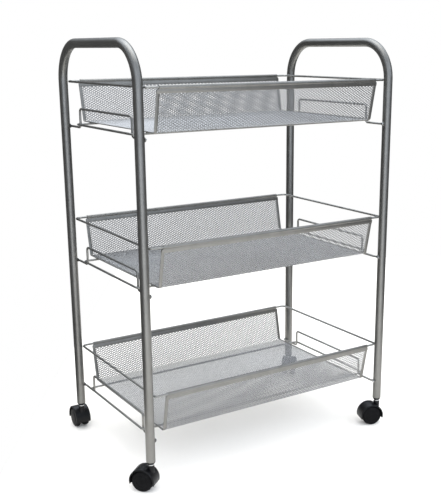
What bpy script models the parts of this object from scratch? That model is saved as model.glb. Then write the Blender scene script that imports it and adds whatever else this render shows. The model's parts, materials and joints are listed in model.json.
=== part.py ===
"""Rolling utility cart: three mesh trays between two bent tube end frames, on twin-wheel swivel casters.

Metres, +Z up, front towards -Y. The origin is on the floor, in the middle of the space the cart takes up.
"""

import math

import bmesh
import bpy
from mathutils import Matrix, Vector

# The cart as a whole. The trailing casters reach further back than forward, which moves the frame forward.
FRAME_CENTRE_Y = -0.0095
GAP = 0.0003  # between pieces that touch

# End frames: one tube each, bent into two posts and a handle
POST_X = 0.250
POST_Y = 0.150
TUBE_RADIUS = 0.008
TUBE_WALL = 0.0012
TUBE_BOTTOM = 0.0528
TUBE_SIDES = 16
HANDLE_Z = 0.7339
HANDLE_BEND = 0.065

# Trays: heights of the rim wires, and everything below them measured from there
RIM_HEIGHTS = {"top": 0.6682, "middle": 0.4183, "bottom": 0.1674}
WIRE_RADIUS = 0.002
WIRE_SIDES = 8
INNER_PLANE_X = POST_X - TUBE_RADIUS - GAP - WIRE_RADIUS  # wires that lie against the posts
RIM_Y = 0.1538
RIM_CORNER = 0.0085

FLOOR_DROP = 0.0705
FLOOR_Y = 0.1393
TROUGH_HALF_LENGTH = 0.220
TROUGH_BEND = 0.003
SHEET = 0.0008

BINDING_HALF_LENGTH = 0.2195
BINDING_SHEET = 0.0008
BINDING_LEAF = 0.0098

LOWER_WIRE_X = INNER_PLANE_X + 2 * WIRE_RADIUS + GAP
LOWER_WIRE_Y = 0.112
LOWER_WIRE_CORNER = 0.008
LOWER_WIRE_DROP = FLOOR_DROP + SHEET / 2 + GAP + WIRE_RADIUS

GUARD_TOP_DROP = 0.046
GUARD_LEG_Y = 0.1045
GUARD_FOOT_DROP = 0.0786
GUARD_BEND = 0.006
EYE_RADIUS = 0.0038
EYE_THICKNESS = 0.0014
EYE_INSET = 0.0001  # the flattened eye lies this far inside the wire's outer side

SCREW_RADIUS = 0.0015
SCREW_LENGTH = 0.0075
SCREW_HEAD_RADIUS = 0.0027
SCREW_HEAD_HEIGHT = 0.0015
SCREW_HOLE_RADIUS = 0.0018

# Casters
WHEEL_RADIUS = 0.019
WHEEL_WIDTH = 0.0104
WHEEL_EDGE = 0.0018
TRAIL = 0.013  # from the swivel axis to the axle
WEB_THICKNESS = 0.007
FENDER_RADIUS = 0.0228
FENDER_WIDTH = 0.029
FENDER_EDGE = 0.0016
WELL_RADIUS = 0.0206
FENDER_BOTTOM = 0.0140
BOSS_RADIUS = 0.007
NECK_RADIUS = 0.00575
NECK_BOTTOM = 0.024
NECK_TOP = 0.0458
AXLE_RADIUS = 0.002
AXLE_LENGTH = 0.022
AXLE_BORE_RADIUS = 0.0021
AXLE_BORE_DEPTH = 0.008
STEM_PIN_RADIUS = 0.0025
STEM_PIN_BORE_RADIUS = 0.00258
STEM_COLLAR_RADIUS = 0.0052
STEM_RADIUS = 0.0035
STEM_TOP = 0.0723
PLUG_BOTTOM = 0.0488
PLUG_FLANGE_RADIUS = 0.0076
PLUG_RADIUS = 0.0063
PLUG_BORE_RADIUS = 0.0039
PLUG_TOP = 0.0773
WHEEL_SIDES = 24
PIN_SIDES = 16

# Where each caster stands, and the way it trails in degrees from +X
CASTERS = {
    "front_left": (-POST_X, -POST_Y, 131),
    "front_right": (POST_X, -POST_Y, 160),
    "rear_left": (-POST_X, POST_Y, 88),
    "rear_right": (POST_X, POST_Y, 45),
}

# Base colour, metallic, roughness
FINISHES = {
    "tube_steel": ((0.30, 0.31, 0.33), 0.9, 0.35),
    "wire_steel": ((0.26, 0.27, 0.28), 0.9, 0.3),
    "binding_steel": ((0.27, 0.28, 0.29), 0.8, 0.4),
    "mesh_steel": ((0.52, 0.52, 0.52), 0.7, 0.45),
    "bright_steel": ((0.70, 0.70, 0.70), 1.0, 0.25),
    "black_plastic": ((0.02, 0.02, 0.022), 0.0, 0.45),
}


def clear_scene():
    for item in list(bpy.data.objects):
        bpy.data.objects.remove(item)


def new_collection(name):
    collection = bpy.data.collections.new(name)
    bpy.context.scene.collection.children.link(collection)
    return collection


def make_materials():
    materials = {}
    for name, (colour, metallic, roughness) in FINISHES.items():
        material = bpy.data.materials.new(name)
        material.use_nodes = True
        shader = material.node_tree.nodes["Principled BSDF"]
        shader.inputs["Base Color"].default_value = (*colour, 1.0)
        shader.inputs["Metallic"].default_value = metallic
        shader.inputs["Roughness"].default_value = roughness
        materials[name] = material
    return materials


def empty(name, location=(0, 0, 0), parent=None, turn=0.0):
    """A pivot or a group: its children move with it."""
    pivot = bpy.data.objects.new(name, None)
    pivot.location = location
    pivot.rotation_euler.z = turn
    pivot.parent = parent
    PARTS.objects.link(pivot)
    return pivot


def place(name, mesh, finish, parent, location=(0, 0, 0), rotation=(0, 0, 0)):
    """One named piece: its mesh may be shared with others like it."""
    piece = bpy.data.objects.new(name, mesh)
    if not mesh.materials:
        mesh.materials.append(MATERIALS[finish])
    piece.parent = parent
    piece.location = location
    piece.rotation_euler = rotation
    PARTS.objects.link(piece)
    return piece


def tool(name, mesh):
    """A working object that isn't a piece of the cart."""
    working = bpy.data.objects.new(name, mesh)
    working.hide_render = True
    working.display_type = "WIRE"
    CUTTERS.objects.link(working)
    return working


def finished(working):
    """The mesh of a working object with its modifiers applied; the object goes."""
    bpy.context.view_layer.update()
    evaluated = working.evaluated_get(bpy.context.evaluated_depsgraph_get())
    mesh = bpy.data.meshes.new_from_object(evaluated)
    mesh.name = working.name
    graph = bmesh.new()
    graph.from_mesh(mesh)
    bmesh.ops.remove_doubles(graph, verts=graph.verts, dist=1e-6)
    graph.to_mesh(mesh)
    graph.free()
    mesh.shade_smooth()
    mesh.set_sharp_from_angle(angle=math.radians(35))
    bpy.data.objects.remove(working)
    return mesh


def combine(working, operation, others):
    """Boolean the working object with each of the others."""
    for other in others:
        boolean = working.modifiers.new(operation.lower(), "BOOLEAN")
        boolean.operation = operation
        boolean.object = other


def filleted(corners, radius, segments, closed=False):
    """The points of a path with straight runs and a round bend at each corner."""
    points = []
    for index, corner in enumerate(corners):
        if not closed and index in (0, len(corners) - 1):
            points.append(corner)
            continue
        before = (corners[index - 1] - corner).normalized()
        after = (corners[(index + 1) % len(corners)] - corner).normalized()
        half_angle = before.angle(after) / 2
        centre = corner + (before + after).normalized() * radius / math.sin(half_angle)
        first_spoke = corner + before * radius / math.tan(half_angle) - centre
        last_spoke = corner + after * radius / math.tan(half_angle) - centre
        axis = first_spoke.cross(last_spoke)
        for step in range(segments + 1):
            turn = Matrix.Rotation((math.pi - 2 * half_angle) * step / segments, 3, axis)
            points.append(centre + turn @ first_spoke)
    return points


def rectangle(half_x, half_y):
    signs = ((-1, -1), (1, -1), (1, 1), (-1, 1))
    return [Vector((half_x * x, half_y * y, 0)) for x, y in signs]


def wire(name, points, radius, sides, closed=False, capped=True):
    """A round wire or tube along the points."""
    curve = bpy.data.curves.new(name, "CURVE")
    curve.dimensions = "3D"
    curve.bevel_depth = radius
    curve.bevel_resolution = sides // 2 - 2
    curve.use_fill_caps = capped and not closed
    spline = curve.splines.new("POLY")
    spline.points.add(len(points) - 1)
    for point, place_at in zip(spline.points, points):
        point.co = (*place_at, 1)
    spline.use_cyclic_u = closed
    return tool(name, curve)


def sheet(name, outline, half_length, thickness):
    """A folded sheet: its outline in Y and Z, drawn out along X, with thickness."""
    mesh = bpy.data.meshes.new(name)
    graph = bmesh.new()
    row = [graph.verts.new((-half_length, y, z)) for y, z in outline]
    edges = [graph.edges.new(pair) for pair in zip(row, row[1:])]
    drawn = bmesh.ops.extrude_edge_only(graph, edges=edges)["geom"]
    moved = [item for item in drawn if isinstance(item, bmesh.types.BMVert)]
    bmesh.ops.translate(graph, verts=moved, vec=(2 * half_length, 0, 0))
    graph.to_mesh(mesh)
    graph.free()
    folded = tool(name, mesh)
    solidify = folded.modifiers.new("thickness", "SOLIDIFY")
    solidify.thickness = thickness
    solidify.offset = 0
    solidify.use_even_offset = True
    return finished(folded)


def turned(name, profile, sides):
    """A profile of (radius, height) points, top to bottom on its outer side, turned about Z."""
    mesh = bpy.data.meshes.new(name)
    graph = bmesh.new()
    row = [graph.verts.new((radius, 0, height)) for radius, height in profile]
    for pair in zip(row, row[1:]):
        graph.edges.new(pair)
    graph.to_mesh(mesh)
    graph.free()
    lathe = tool(name, mesh)
    screw = lathe.modifiers.new("turn", "SCREW")
    screw.steps = sides
    screw.render_steps = sides
    screw.use_merge_vertices = True
    screw.merge_threshold = 1e-6
    return finished(lathe)


def cylinder(name, radius, length, sides, axis="Z", centre=(0, 0, 0)):
    """A working cylinder along one axis, for joining or cutting."""
    turns = {"X": Matrix.Rotation(math.pi / 2, 3, "Y"), "Y": Matrix.Rotation(math.pi / 2, 3, "X")}
    mesh = bpy.data.meshes.new(name)
    graph = bmesh.new()
    bmesh.ops.create_cone(
        graph, cap_ends=True, segments=sides, radius1=radius, radius2=radius, depth=length
    )
    if axis in turns:
        bmesh.ops.rotate(graph, verts=graph.verts, cent=(0, 0, 0), matrix=turns[axis])
    bmesh.ops.translate(graph, verts=graph.verts, vec=centre)
    graph.to_mesh(mesh)
    graph.free()
    return tool(name, mesh)


def block(name, size, centre):
    """A working box."""
    mesh = bpy.data.meshes.new(name)
    graph = bmesh.new()
    bmesh.ops.create_cube(graph, size=1)
    bmesh.ops.scale(graph, verts=graph.verts, vec=size)
    bmesh.ops.translate(graph, verts=graph.verts, vec=centre)
    graph.to_mesh(mesh)
    graph.free()
    return tool(name, mesh)


# ---------------------------------------------------------------- end frames


def end_frame_mesh():
    """The bent tube of the right-hand end, with a screw hole for each guard foot in its inner side."""
    corners = [
        Vector((0, -POST_Y, TUBE_BOTTOM)),
        Vector((0, -POST_Y, HANDLE_Z)),
        Vector((0, POST_Y, HANDLE_Z)),
        Vector((0, POST_Y, TUBE_BOTTOM)),
    ]
    path = filleted(corners, HANDLE_BEND, 9)
    skin = wire("end_frame_skin", path, TUBE_RADIUS, TUBE_SIDES, capped=False)
    tube = tool("end_frame", finished(skin))
    wall = tube.modifiers.new("wall", "SOLIDIFY")
    wall.thickness = TUBE_WALL
    wall.offset = -1
    wall.use_even_offset = True
    holes = [
        cylinder(
            "screw_hole",
            SCREW_HOLE_RADIUS,
            0.006,
            12,
            axis="X",
            centre=(-TUBE_RADIUS + TUBE_WALL / 2, y, rim_z - GUARD_FOOT_DROP),
        )
        for rim_z in RIM_HEIGHTS.values()
        for y in (-POST_Y, POST_Y)
    ]
    combine(tube, "DIFFERENCE", holes)
    mesh = finished(tube)
    for hole in holes:
        bpy.data.objects.remove(hole)
    return mesh


def build_end_frames(cart):
    mesh = end_frame_mesh()
    place("right_end_frame", mesh, "tube_steel", cart, (POST_X, 0, 0))
    place("left_end_frame", mesh, "tube_steel", cart, (-POST_X, 0, 0), (0, 0, math.pi))


# --------------------------------------------------------------------- trays


def rim_wire_mesh():
    path = filleted(rectangle(INNER_PLANE_X, RIM_Y), RIM_CORNER, 4, closed=True)
    return finished(wire("rim_wire", path, WIRE_RADIUS, WIRE_SIDES, closed=True))


def lower_wire_mesh():
    path = filleted(rectangle(LOWER_WIRE_X, LOWER_WIRE_Y), LOWER_WIRE_CORNER, 4, closed=True)
    return finished(wire("lower_wire", path, WIRE_RADIUS, WIRE_SIDES, closed=True))


def wall_direction():
    """Down the rear wall, from the rim wire to the floor's corner."""
    return Vector((0, FLOOR_Y - RIM_Y, -FLOOR_DROP)).normalized()


def trough_mesh():
    """Front wall, floor and rear wall: one folded sheet, measured from the rim's height."""
    down = wall_direction()
    rear_top = Vector((0, RIM_Y, 0)) + down * (WIRE_RADIUS + 2 * GAP)
    rear_corner = Vector((0, FLOOR_Y, -FLOOR_DROP))
    mirrored = Vector((1, -1, 1))
    corners = [rear_top * mirrored, rear_corner * mirrored, rear_corner, rear_top]
    outline = [(point.y, point.z) for point in filleted(corners, TROUGH_BEND, 5)]
    return sheet("trough", outline, TROUGH_HALF_LENGTH, SHEET)


def binding_mesh():
    """The rear strip: sheet folded over the rim wire, with both leaves along the wall."""
    down = wall_direction()
    outward = Vector((0, -down.z, down.y))
    centre = Vector((0, RIM_Y, 0))
    fold = WIRE_RADIUS + GAP + BINDING_SHEET / 2
    segments = 8
    outline = [centre - outward * fold + down * BINDING_LEAF]
    for step in range(segments + 1):
        angle = math.pi * step / segments
        outline.append(centre - outward * fold * math.cos(angle) - down * fold * math.sin(angle))
    outline.append(centre + outward * fold + down * BINDING_LEAF)
    points = [(point.y, point.z) for point in outline]
    return sheet("binding", points, BINDING_HALF_LENGTH, BINDING_SHEET)


def guard_mesh():
    """The right-hand guard: a wire hoop whose two feet end in flattened eyes against the posts."""
    foot_end = POST_Y - SCREW_HEAD_RADIUS - 2 * GAP
    rear_half = [
        Vector((0, GUARD_LEG_Y, -GUARD_TOP_DROP)),
        Vector((0, GUARD_LEG_Y, -GUARD_FOOT_DROP)),
        Vector((0, foot_end, -GUARD_FOOT_DROP)),
    ]
    front_half = [point * Vector((1, -1, 1)) for point in reversed(rear_half)]
    path = filleted(front_half + rear_half, GUARD_BEND, 3)
    hoop = tool("guard", finished(wire("guard_hoop", path, WIRE_RADIUS, WIRE_SIDES)))
    outer_face = WIRE_RADIUS - EYE_INSET
    eyes, holes = [], []
    for y in (-POST_Y, POST_Y):
        centre = (outer_face - EYE_THICKNESS / 2, y, -GUARD_FOOT_DROP)
        eyes.append(cylinder("eye", EYE_RADIUS, EYE_THICKNESS, 14, axis="X", centre=centre))
        holes.append(
            cylinder("eye_hole", SCREW_HOLE_RADIUS, 3 * EYE_THICKNESS, 10, axis="X", centre=centre)
        )
    combine(hoop, "UNION", eyes)
    combine(hoop, "DIFFERENCE", holes)
    mesh = finished(hoop)
    for used in eyes + holes:
        bpy.data.objects.remove(used)
    return mesh


def foot_screw_mesh():
    """A pan-head screw: the head up, its bearing face at the origin."""
    profile = [
        (0, SCREW_HEAD_HEIGHT),
        (0.6 * SCREW_HEAD_RADIUS, 0.9 * SCREW_HEAD_HEIGHT),
        (0.95 * SCREW_HEAD_RADIUS, 0.5 * SCREW_HEAD_HEIGHT),
        (SCREW_HEAD_RADIUS, 0),
        (SCREW_RADIUS, 0),
        (SCREW_RADIUS, 0.002 - SCREW_LENGTH),
        (0, -SCREW_LENGTH),
    ]
    return turned("foot_screw", profile, 8)


def build_trays(cart):
    rim = rim_wire_mesh()
    lower = lower_wire_mesh()
    trough = trough_mesh()
    binding = binding_mesh()
    guard = guard_mesh()
    screw = foot_screw_mesh()
    turned_round = (0, 0, math.pi)
    eye_inner_face = INNER_PLANE_X + WIRE_RADIUS - EYE_INSET - EYE_THICKNESS
    for level, height in RIM_HEIGHTS.items():
        tray = empty(f"{level}_tray", (0, 0, height), cart)
        place(f"{level}_tray_mesh", trough, "mesh_steel", tray)
        place(f"{level}_tray_rim_wire", rim, "wire_steel", tray)
        place(f"{level}_tray_lower_wire", lower, "wire_steel", tray, (0, 0, -LOWER_WIRE_DROP))
        place(f"{level}_tray_rear_binding", binding, "binding_steel", tray)
        place(f"{level}_tray_front_binding", binding, "binding_steel", tray, rotation=turned_round)
        for side, sign, turn in (("right", 1, 0), ("left", -1, math.pi)):
            place(
                f"{level}_tray_{side}_guard",
                guard,
                "wire_steel",
                tray,
                (sign * INNER_PLANE_X, 0, 0),
                (0, 0, turn),
            )
            for end, y in (("front", -POST_Y), ("rear", POST_Y)):
                place(
                    f"{level}_tray_{end}_{side}_screw",
                    screw,
                    "bright_steel",
                    tray,
                    (sign * (eye_inner_face - GAP), y, -GUARD_FOOT_DROP),
                    (0, -sign * math.pi / 2, 0),
                )


# ------------------------------------------------------------------- casters


def plug_mesh():
    """The socket in the tube's lower end: a flange under the tube and a blind bore for the stem."""
    profile = [
        (0, PLUG_TOP),
        (PLUG_RADIUS - 0.0006, PLUG_TOP),
        (PLUG_RADIUS, PLUG_TOP - 0.001),
        (PLUG_RADIUS, TUBE_BOTTOM - GAP),
        (PLUG_FLANGE_RADIUS, TUBE_BOTTOM - GAP),
        (PLUG_FLANGE_RADIUS, PLUG_BOTTOM),
        (PLUG_BORE_RADIUS, PLUG_BOTTOM),
        (PLUG_BORE_RADIUS, STEM_TOP + GAP),
        (0, STEM_TOP + GAP),
    ]
    return turned("plug", profile, PIN_SIDES)


def stem_mesh():
    """The fixed pin: its thick end up in the plug, its collar below, its thin end in the hood's neck."""
    collar_top = PLUG_BOTTOM - GAP
    collar_bottom = NECK_TOP + GAP
    profile = [
        (0, STEM_TOP),
        (STEM_RADIUS, STEM_TOP),
        (STEM_RADIUS, collar_top),
        (STEM_COLLAR_RADIUS, collar_top),
        (STEM_COLLAR_RADIUS, collar_bottom),
        (STEM_PIN_RADIUS, collar_bottom),
        (STEM_PIN_RADIUS, NECK_BOTTOM + GAP),
        (0, NECK_BOTTOM + GAP),
    ]
    return turned("stem", profile, PIN_SIDES)


def hood_mesh():
    """Two fenders, the web between the wheels, the axle's boss and the neck, moulded in one."""
    axle_at = (TRAIL, 0, WHEEL_RADIUS)
    body = cylinder("hood", FENDER_RADIUS, FENDER_WIDTH, 28, axis="Y", centre=axle_at)
    rounding = body.modifiers.new("rounding", "BEVEL")
    rounding.width = FENDER_EDGE
    rounding.segments = 2
    rounding.limit_method = "ANGLE"
    rounding.angle_limit = math.radians(40)
    below = block(
        "below",
        (4 * FENDER_RADIUS, 2 * FENDER_WIDTH, FENDER_RADIUS * 2),
        (TRAIL, 0, FENDER_BOTTOM - FENDER_RADIUS),
    )
    boss = cylinder("boss", BOSS_RADIUS, WEB_THICKNESS, 16, axis="Y", centre=axle_at)
    neck_middle = (NECK_TOP + NECK_BOTTOM) / 2
    neck = cylinder(
        "neck", NECK_RADIUS, NECK_TOP - NECK_BOTTOM, PIN_SIDES, centre=(0, 0, neck_middle)
    )
    well_middle = WEB_THICKNESS / 2 + FENDER_WIDTH / 2
    wells = [
        cylinder(
            "well", WELL_RADIUS, FENDER_WIDTH, 28, axis="Y", centre=(TRAIL, y, WHEEL_RADIUS)
        )
        for y in (-well_middle, well_middle)
    ]
    axle_hole = cylinder("axle_hole", AXLE_BORE_RADIUS, FENDER_WIDTH, PIN_SIDES, "Y", axle_at)
    stem_hole = cylinder(
        "stem_hole",
        STEM_PIN_BORE_RADIUS,
        2 * (NECK_TOP - NECK_BOTTOM),
        PIN_SIDES,
        centre=(0, 0, NECK_TOP),
    )
    combine(body, "DIFFERENCE", [below])
    combine(body, "UNION", [boss, neck])
    combine(body, "DIFFERENCE", [*wells, axle_hole, stem_hole])
    mesh = finished(body)
    for used in (below, boss, neck, *wells, axle_hole, stem_hole):
        bpy.data.objects.remove(used)
    return mesh


def axle_mesh():
    half = AXLE_LENGTH / 2
    profile = [(0, half), (AXLE_RADIUS, half), (AXLE_RADIUS, -half), (0, -half)]
    return turned("axle", profile, PIN_SIDES)


def wheel_mesh():
    """A wheel with its outer face up and a blind bore in its inner face."""
    profile = [
        (0, WHEEL_WIDTH),
        (WHEEL_RADIUS - WHEEL_EDGE, WHEEL_WIDTH),
        (WHEEL_RADIUS, WHEEL_WIDTH - WHEEL_EDGE),
        (WHEEL_RADIUS, WHEEL_EDGE),
        (WHEEL_RADIUS - WHEEL_EDGE, 0),
        (AXLE_BORE_RADIUS, 0),
        (AXLE_BORE_RADIUS, AXLE_BORE_DEPTH),
        (0, AXLE_BORE_DEPTH),
    ]
    return turned("wheel", profile, WHEEL_SIDES)


def build_casters(cart):
    plug, stem, hood, axle, wheel = plug_mesh(), stem_mesh(), hood_mesh(), axle_mesh(), wheel_mesh()
    quarter = math.pi / 2
    wheel_inner_face = WEB_THICKNESS / 2 + GAP
    for corner, (x, y, trail_angle) in CASTERS.items():
        place(f"{corner}_plug", plug, "black_plastic", cart, (x, y, 0))
        place(f"{corner}_stem", stem, "bright_steel", cart, (x, y, 0))
        swivel = empty(f"{corner}_swivel", (x, y, 0), cart, math.radians(trail_angle))
        place(f"{corner}_hood", hood, "black_plastic", swivel)
        hub = (TRAIL, 0, WHEEL_RADIUS)
        place(f"{corner}_axle", axle, "bright_steel", swivel, hub, (quarter, 0, 0))
        for side, sign in (("left", 1), ("right", -1)):
            place(
                f"{corner}_{side}_wheel",
                wheel,
                "black_plastic",
                swivel,
                (TRAIL, sign * wheel_inner_face, WHEEL_RADIUS),
                (-sign * quarter, 0, 0),
            )


clear_scene()
PARTS = new_collection("rolling_utility_cart")
CUTTERS = new_collection("cutters")
MATERIALS = make_materials()
CART = empty("cart", (0, FRAME_CENTRE_Y, 0))
build_end_frames(CART)
build_trays(CART)
build_casters(CART)
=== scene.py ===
"""Looks of the rolling utility cart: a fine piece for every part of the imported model, its paint and plastic,
and a plain studio around it. Metres, +Z up, front towards -Y.
"""

import json
import math

import bmesh
import bpy
import numpy as np
from mathutils import Euler, Matrix, Vector


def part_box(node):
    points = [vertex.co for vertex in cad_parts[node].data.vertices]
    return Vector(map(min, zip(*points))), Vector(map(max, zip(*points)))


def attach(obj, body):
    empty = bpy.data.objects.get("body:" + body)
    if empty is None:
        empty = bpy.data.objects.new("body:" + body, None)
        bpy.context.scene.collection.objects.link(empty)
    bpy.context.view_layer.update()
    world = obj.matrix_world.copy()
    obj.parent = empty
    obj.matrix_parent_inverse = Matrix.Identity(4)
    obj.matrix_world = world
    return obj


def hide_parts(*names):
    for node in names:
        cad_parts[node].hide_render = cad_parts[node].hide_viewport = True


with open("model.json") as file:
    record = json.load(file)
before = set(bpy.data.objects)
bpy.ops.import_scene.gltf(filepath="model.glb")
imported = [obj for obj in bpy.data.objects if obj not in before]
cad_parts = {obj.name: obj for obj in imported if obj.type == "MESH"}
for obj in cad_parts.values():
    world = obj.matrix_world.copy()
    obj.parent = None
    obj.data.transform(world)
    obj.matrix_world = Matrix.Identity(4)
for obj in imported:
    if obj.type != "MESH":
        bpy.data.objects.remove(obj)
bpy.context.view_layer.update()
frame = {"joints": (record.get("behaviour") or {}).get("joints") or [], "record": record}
NODE_BODY = {
    node: body for body, nodes in frame["record"]["behaviour"]["bodies"].items() for node in nodes
}
LEVELS = ("top", "middle", "bottom")
CORNERS = ("front_left", "front_right", "rear_left", "rear_right")
GAP = 0.0003  # between pieces that touch

# End frames, read from the right-hand one
TUBE_LOW, TUBE_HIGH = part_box("right_end_frame")
TUBE_RADIUS = (TUBE_HIGH.x - TUBE_LOW.x) / 2
TUBE_WALL = 0.0012
POST_X = TUBE_HIGH.x - TUBE_RADIUS
POST_Y = (TUBE_HIGH.y - TUBE_LOW.y) / 2 - TUBE_RADIUS
CENTRE_Y = (TUBE_HIGH.y + TUBE_LOW.y) / 2
TUBE_BOTTOM = TUBE_LOW.z
HANDLE_Z = TUBE_HIGH.z - TUBE_RADIUS
HANDLE_BEND = 0.065
TUBE_SIDES = 32
TUBE_EDGE = 0.0003  # the rounding of the cut ends

# Trays, read from the top one; the other two are the same, lower down
RIM_LOW, RIM_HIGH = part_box("top_tray_rim_wire")
WIRE_RADIUS = (RIM_HIGH.z - RIM_LOW.z) / 2
WIRE_SIDES = 16
INNER_PLANE_X = RIM_HIGH.x - WIRE_RADIUS
RIM_Y = (RIM_HIGH.y - RIM_LOW.y) / 2 - WIRE_RADIUS
RIM_CORNER = 0.0085
RIM_HEIGHT = {
    level: sum(corner.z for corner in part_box(f"{level}_tray_rim_wire")) / 2 for level in LEVELS
}

LOWER_LOW, LOWER_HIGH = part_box("top_tray_lower_wire")
LOWER_WIRE_X = LOWER_HIGH.x - WIRE_RADIUS
LOWER_WIRE_Y = (LOWER_HIGH.y - LOWER_LOW.y) / 2 - WIRE_RADIUS
LOWER_WIRE_CORNER = 0.008
LOWER_WIRE_DROP = RIM_HEIGHT["top"] - LOWER_HIGH.z + WIRE_RADIUS

SHEET = 0.0008
TROUGH_LOW, TROUGH_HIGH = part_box("top_tray_mesh")
TROUGH_HALF_LENGTH = TROUGH_HIGH.x
TROUGH_BEND = 0.003
FLOOR_DROP = RIM_HEIGHT["top"] - TROUGH_LOW.z - SHEET / 2
WALL_LEAN = 0.0145  # how far the walls come in on the way down to the floor
FLOOR_Y = RIM_Y - WALL_LEAN

# Expanded mesh: long diamonds, with the long way along the cart
DIAMOND_LENGTH = 0.00745
DIAMOND_HEIGHT = 0.0043
OPENING = 0.61  # size of each opening against its diamond
LATTICE_INSET = 0.0026  # the mesh ends this far inside its hems
STRAND_THICKNESS = 0.0009

HEM_WIDTH = 0.0062
FLOOR_HEM_WIDTH = 0.0034
HEM_THICKNESS = 0.0012
HEM_EDGE = 0.0005

BINDING_HALF_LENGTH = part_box("top_tray_rear_binding")[1].x
BINDING_SHEET = 0.0008
BINDING_LEAF = 0.0098
BINDING_EDGE = 0.00022
PANEL_CORNER = 0.0028  # the rounding of the hems' and strips' outer corners

GUARD_LOW, GUARD_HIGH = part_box("top_tray_right_guard")
EYE_RADIUS = (GUARD_HIGH.y - GUARD_LOW.y) / 2 - POST_Y
EYE_THICKNESS = 0.0014
EYE_INSET = 0.0001
GUARD_TOP_DROP = RIM_HEIGHT["top"] - GUARD_HIGH.z + WIRE_RADIUS
GUARD_FOOT_DROP = RIM_HEIGHT["top"] - GUARD_LOW.z - EYE_RADIUS
GUARD_LEG_Y = 0.1045
GUARD_BEND = 0.006
FOOT_ROUND_END = 0.012  # how far short of the post's axis the foot stops being round
FOOT_NECK = 0.005  # the length over which it is beaten flat

SCREW_RADIUS = 0.0015
SCREW_LENGTH = 0.0075
SCREW_HEAD_RADIUS = 0.0027
SCREW_HEAD_HEIGHT = 0.0015
SCREW_HOLE_RADIUS = 0.0018
SCREW_RECESS = (0.0028, 0.0006, 0.0014)
SCREW_RECESS_TURN = 0.4

# Casters: where they stand and the way they trail come from the joints
JOINTS = {joint["name"]: joint for joint in frame["joints"]}
FIRST_SWIVEL = Vector(JOINTS["front_left_swivel"]["pos_m"])
FIRST_HUB = Vector(JOINTS["front_left_left_wheel_spin"]["pos_m"])
WHEEL_RADIUS = FIRST_HUB.z
TRAIL = (FIRST_HUB - FIRST_SWIVEL).to_2d().length
WHEEL_WIDTH = 0.0104
WEB_THICKNESS = 0.007
FENDER_RADIUS = 0.0227
FENDER_WIDTH = 0.029
FENDER_LIP = 0.0017  # the rounding of the fenders' outer edges
WELL_RADIUS = 0.0206
FENDER_BOTTOM = 0.0140
BOSS_RADIUS = 0.007
NECK_RADIUS = 0.00575
NECK_BOTTOM = 0.024
NECK_TOP = 0.0458
AXLE_RADIUS = 0.002
AXLE_LENGTH = 0.022
AXLE_BORE_RADIUS = 0.0021
AXLE_BORE_DEPTH = 0.008
STEM_PIN_RADIUS = 0.0025
STEM_PIN_BORE_RADIUS = 0.00258
STEM_COLLAR_RADIUS = 0.0052
STEM_RADIUS = 0.0035
STEM_TOP = 0.0723
PLUG_BOTTOM = 0.0488
PLUG_FLANGE_RADIUS = 0.0076
PLUG_FLANGE_RIM = 0.0012  # the height of the flange's straight rim, above its taper
PLUG_FOOT_RADIUS = 0.0056
PLUG_RADIUS = 0.0063
PLUG_BORE_RADIUS = 0.0039
PLUG_TOP = 0.0773
ROUND_SIDES = 64
SMOOTH_ANGLE = 38  # degrees; sharper edges stay sharp


# ------------------------------------------------------------------ materials


def painted(
    name, dark, light, metallic, roughness, patches, grain, grain_depth, shine=0.5, painted_edge_shade=None
):
    """Paint, plastic or plate: soft patches of tone, and a fine grain in its roughness and surface.

    Patches and grain are sizes in metres; grain_depth is the height of the grain's bump. An edge shade
    is painted shade: the dark colour that the mesh fades to away from its ridges, on the strands' flanks.
    """
    material = bpy.data.materials.new(name)
    material.use_nodes = True
    nodes, links = material.node_tree.nodes, material.node_tree.links
    shader = nodes["Principled BSDF"]
    shader.inputs["Metallic"].default_value = metallic
    shader.inputs["Specular IOR Level"].default_value = shine

    place = nodes.new("ShaderNodeTexCoord")
    patch = nodes.new("ShaderNodeTexNoise")
    patch.inputs["Scale"].default_value = 1 / patches
    patch.inputs["Detail"].default_value = 4
    patch.inputs["Roughness"].default_value = 0.6
    links.new(place.outputs["Object"], patch.inputs["Vector"])

    tone = nodes.new("ShaderNodeValToRGB")
    tone.color_ramp.elements[0].position = 0.32
    tone.color_ramp.elements[0].color = (*dark, 1)
    tone.color_ramp.elements[1].position = 0.68
    tone.color_ramp.elements[1].color = (*light, 1)
    links.new(patch.outputs["Fac"], tone.inputs["Fac"])
    if painted_edge_shade is None:
        links.new(tone.outputs["Color"], shader.inputs["Base Color"])
    else:
        # Painted shade: darker towards the openings' edges, on the strands' flanks
        ridge = nodes.new("ShaderNodeAttribute")
        ridge.attribute_name = "ridge"
        fade = nodes.new("ShaderNodeMix")
        fade.data_type = "RGBA"
        fade.inputs["A"].default_value = (*painted_edge_shade, 1)
        links.new(ridge.outputs["Fac"], fade.inputs["Factor"])
        links.new(tone.outputs["Color"], fade.inputs["B"])
        links.new(fade.outputs["Result"], shader.inputs["Base Color"])

    speck = nodes.new("ShaderNodeTexNoise")
    speck.inputs["Scale"].default_value = 1 / grain
    speck.inputs["Detail"].default_value = 3
    links.new(place.outputs["Object"], speck.inputs["Vector"])

    spread = nodes.new("ShaderNodeMapRange")
    spread.inputs["From Min"].default_value = 0.3
    spread.inputs["From Max"].default_value = 0.7
    spread.inputs["To Min"].default_value = roughness - 0.05
    spread.inputs["To Max"].default_value = roughness + 0.05
    links.new(speck.outputs["Fac"], spread.inputs["Value"])
    links.new(spread.outputs["Result"], shader.inputs["Roughness"])

    bump = nodes.new("ShaderNodeBump")
    bump.inputs["Strength"].default_value = 0.6
    bump.inputs["Distance"].default_value = grain_depth
    links.new(speck.outputs["Fac"], bump.inputs["Height"])
    links.new(bump.outputs["Normal"], shader.inputs["Normal"])
    return material


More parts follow.
